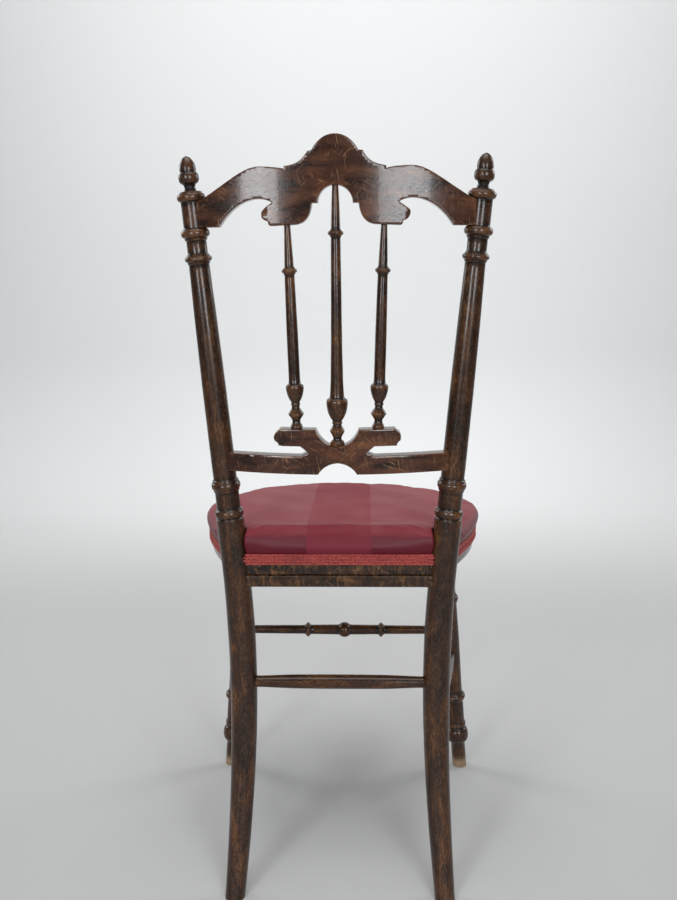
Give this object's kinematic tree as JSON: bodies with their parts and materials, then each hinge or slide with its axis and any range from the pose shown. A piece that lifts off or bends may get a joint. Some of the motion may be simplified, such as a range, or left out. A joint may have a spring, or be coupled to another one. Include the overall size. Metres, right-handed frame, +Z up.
{
  "type": "turned side chair",
  "caption": "Stained wooden side chair with turned spindles, a shaped crest rail, bent rear legs and a round stuffed cloth seat edged with braid.",
  "frame": {"origin": "on the floor under the middle of the chair's overall width and depth", "axes": "+Z up, the sitter faces -Y, +X is the sitter's left"},
  "size_m": [0.3936, 0.4196, 0.9177],
  "materials": {
    "turned_wood": "dark stain under worn varnish",
    "sawn_wood": "dark stain under scratched varnish",
    "seat_cloth": "faded red satin",
    "braid": "woven coral braid",
    "webbing": "jute",
    "hessian": "coarse jute cloth",
    "stuffing": "horsehair"
  },
  "bodies": {
    "root": {"back_apron": "sawn_wood", "centre_spindle": "turned_wood", "crest_rail": "sawn_wood", "front_stretcher": "turned_wood", "gimp_front": "braid", "gimp_rear": "braid", "hessian": "hessian", "left_back_post": "turned_wood", "left_front_leg": "turned_wood", "left_spindle": "turned_wood", "left_stretcher": "turned_wood", "lower_back_rail": "sawn_wood", "rear_stretcher": "turned_wood", "right_back_post": "turned_wood", "right_front_leg": "turned_wood", "right_spindle": "turned_wood", "right_stretcher": "turned_wood", "seat_cover": "seat_cloth", "seat_rail_front": "sawn_wood", "seat_rail_left": "sawn_wood", "seat_rail_rear": "sawn_wood", "seat_rail_right": "sawn_wood", "stuffing": "stuffing", "webbing_cross_1": "webbing", "webbing_cross_2": "webbing", "webbing_cross_3": "webbing", "webbing_long_1": "webbing", "webbing_long_2": "webbing", "webbing_long_3": "webbing"}
  },
  "joints": []
}
